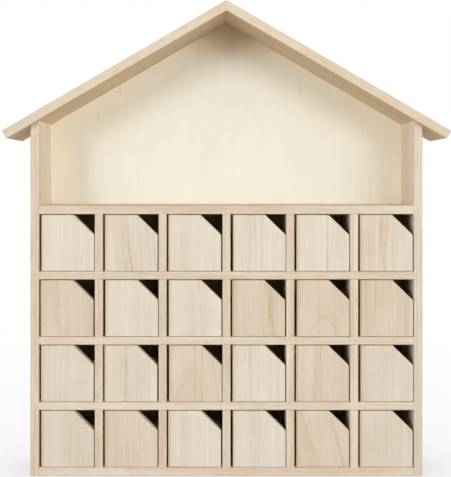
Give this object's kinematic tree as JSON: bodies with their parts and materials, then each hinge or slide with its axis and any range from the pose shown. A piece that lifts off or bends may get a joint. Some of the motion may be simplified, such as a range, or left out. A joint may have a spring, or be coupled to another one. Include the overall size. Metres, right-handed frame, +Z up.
{
  "type": "wooden advent calendar",
  "caption": "House-shaped unpainted wooden advent calendar with a grid of small pull-out drawers with cut corners, an open attic and a pitched roof.",
  "frame": {"origin": "centre of the overall box at floor level", "axes": "+Z up towards the ridge, +Y from the drawers to the back panel, +X to the right seen from the front"},
  "size_m": [0.392, 0.0666, 0.4177],
  "materials": {
    "case_wood": "sanded, unfinished",
    "grid_wood": "sanded, unfinished",
    "roof_wood": "sanded, unfinished",
    "front_wood": "sanded, unfinished",
    "back_plywood": "smooth, unfinished",
    "tray_plywood": "smooth, unfinished",
    "brad_steel": "bright wire"
  },
  "bodies": {
    "case": {"side_left": "case_wood", "side_right": "case_wood", "base_board": "case_wood", "attic_floor": "case_wood", "row_shelves": "grid_wood", "column_dividers": "grid_wood", "back_panel": "back_plywood", "roof_left": "roof_wood", "roof_right": "roof_wood", "side_brads": "brad_steel", "roof_brads": "brad_steel", "back_panel_brads": "brad_steel"},
    "drawer_01": {"drawer_01_front": "front_wood", "drawer_01_tray": "tray_plywood"},
    "drawer_02": {"drawer_02_front": "front_wood", "drawer_02_tray": "tray_plywood"},
    "drawer_03": {"drawer_03_front": "front_wood", "drawer_03_tray": "tray_plywood"},
    "drawer_04": {"drawer_04_front": "front_wood", "drawer_04_tray": "tray_plywood"},
    "drawer_05": {"drawer_05_front": "front_wood", "drawer_05_tray": "tray_plywood"},
    "drawer_06": {"drawer_06_front": "front_wood", "drawer_06_tray": "tray_plywood"},
    "drawer_07": {"drawer_07_front": "front_wood", "drawer_07_tray": "tray_plywood"},
    "drawer_08": {"drawer_08_front": "front_wood", "drawer_08_tray": "tray_plywood"},
    "drawer_09": {"drawer_09_front": "front_wood", "drawer_09_tray": "tray_plywood"},
    "drawer_10": {"drawer_10_front": "front_wood", "drawer_10_tray": "tray_plywood"},
    "drawer_11": {"drawer_11_front": "front_wood", "drawer_11_tray": "tray_plywood"},
    "drawer_12": {"drawer_12_front": "front_wood", "drawer_12_tray": "tray_plywood"},
    "drawer_13": {"drawer_13_front": "front_wood", "drawer_13_tray": "tray_plywood"},
    "drawer_14": {"drawer_14_front": "front_wood", "drawer_14_tray": "tray_plywood"},
    "drawer_15": {"drawer_15_front": "front_wood", "drawer_15_tray": "tray_plywood"},
    "drawer_16": {"drawer_16_front": "front_wood", "drawer_16_tray": "tray_plywood"},
    "drawer_17": {"drawer_17_front": "front_wood", "drawer_17_tray": "tray_plywood"},
    "drawer_18": {"drawer_18_front": "front_wood", "drawer_18_tray": "tray_plywood"},
    "drawer_19": {"drawer_19_front": "front_wood", "drawer_19_tray": "tray_plywood"},
    "drawer_20": {"drawer_20_front": "front_wood", "drawer_20_tray": "tray_plywood"},
    "drawer_21": {"drawer_21_front": "front_wood", "drawer_21_tray": "tray_plywood"},
    "drawer_22": {"drawer_22_front": "front_wood", "drawer_22_tray": "tray_plywood"},
    "drawer_23": {"drawer_23_front": "front_wood", "drawer_23_tray": "tray_plywood"},
    "drawer_24": {"drawer_24_front": "front_wood", "drawer_24_tray": "tray_plywood"}
  },
  "joints": [
    {"name": "drawer_01_slide", "type": "slide", "parent": "case", "child": "drawer_01", "axis": [0, -1, 0], "range_m": [0, 0.046]},
    {"name": "drawer_02_slide", "type": "slide", "parent": "case", "child": "drawer_02", "axis": [0, -1, 0], "range_m": [0, 0.046]},
    {"name": "drawer_03_slide", "type": "slide", "parent": "case", "child": "drawer_03", "axis": [0, -1, 0], "range_m": [0, 0.046]},
    {"name": "drawer_04_slide", "type": "slide", "parent": "case", "child": "drawer_04", "axis": [0, -1, 0], "range_m": [0, 0.046]},
    {"name": "drawer_05_slide", "type": "slide", "parent": "case", "child": "drawer_05", "axis": [0, -1, 0], "range_m": [0, 0.046]},
    {"name": "drawer_06_slide", "type": "slide", "parent": "case", "child": "drawer_06", "axis": [0, -1, 0], "range_m": [0, 0.046]},
    {"name": "drawer_07_slide", "type": "slide", "parent": "case", "child": "drawer_07", "axis": [0, -1, 0], "range_m": [0, 0.046]},
    {"name": "drawer_08_slide", "type": "slide", "parent": "case", "child": "drawer_08", "axis": [0, -1, 0], "range_m": [0, 0.046]},
    {"name": "drawer_09_slide", "type": "slide", "parent": "case", "child": "drawer_09", "axis": [0, -1, 0], "range_m": [0, 0.046]},
    {"name": "drawer_10_slide", "type": "slide", "parent": "case", "child": "drawer_10", "axis": [0, -1, 0], "range_m": [0, 0.046]},
    {"name": "drawer_11_slide", "type": "slide", "parent": "case", "child": "drawer_11", "axis": [0, -1, 0], "range_m": [0, 0.046]},
    {"name": "drawer_12_slide", "type": "slide", "parent": "case", "child": "drawer_12", "axis": [0, -1, 0], "range_m": [0, 0.046]},
    {"name": "drawer_13_slide", "type": "slide", "parent": "case", "child": "drawer_13", "axis": [0, -1, 0], "range_m": [0, 0.046]},
    {"name": "drawer_14_slide", "type": "slide", "parent": "case", "child": "drawer_14", "axis": [0, -1, 0], "range_m": [0, 0.046]},
    {"name": "drawer_15_slide", "type": "slide", "parent": "case", "child": "drawer_15", "axis": [0, -1, 0], "range_m": [0, 0.046]},
    {"name": "drawer_16_slide", "type": "slide", "parent": "case", "child": "drawer_16", "axis": [0, -1, 0], "range_m": [0, 0.046]},
    {"name": "drawer_17_slide", "type": "slide", "parent": "case", "child": "drawer_17", "axis": [0, -1, 0], "range_m": [0, 0.046]},
    {"name": "drawer_18_slide", "type": "slide", "parent": "case", "child": "drawer_18", "axis": [0, -1, 0], "range_m": [0, 0.046]},
    {"name": "drawer_19_slide", "type": "slide", "parent": "case", "child": "drawer_19", "axis": [0, -1, 0], "range_m": [0, 0.046]},
    {"name": "drawer_20_slide", "type": "slide", "parent": "case", "child": "drawer_20", "axis": [0, -1, 0], "range_m": [0, 0.046]},
    {"name": "drawer_21_slide", "type": "slide", "parent": "case", "child": "drawer_21", "axis": [0, -1, 0], "range_m": [0, 0.046]},
    {"name": "drawer_22_slide", "type": "slide", "parent": "case", "child": "drawer_22", "axis": [0, -1, 0], "range_m": [0, 0.046]},
    {"name": "drawer_23_slide", "type": "slide", "parent": "case", "child": "drawer_23", "axis": [0, -1, 0], "range_m": [0, 0.046]},
    {"name": "drawer_24_slide", "type": "slide", "parent": "case", "child": "drawer_24", "axis": [0, -1, 0], "range_m": [0, 0.046]}
  ]
}
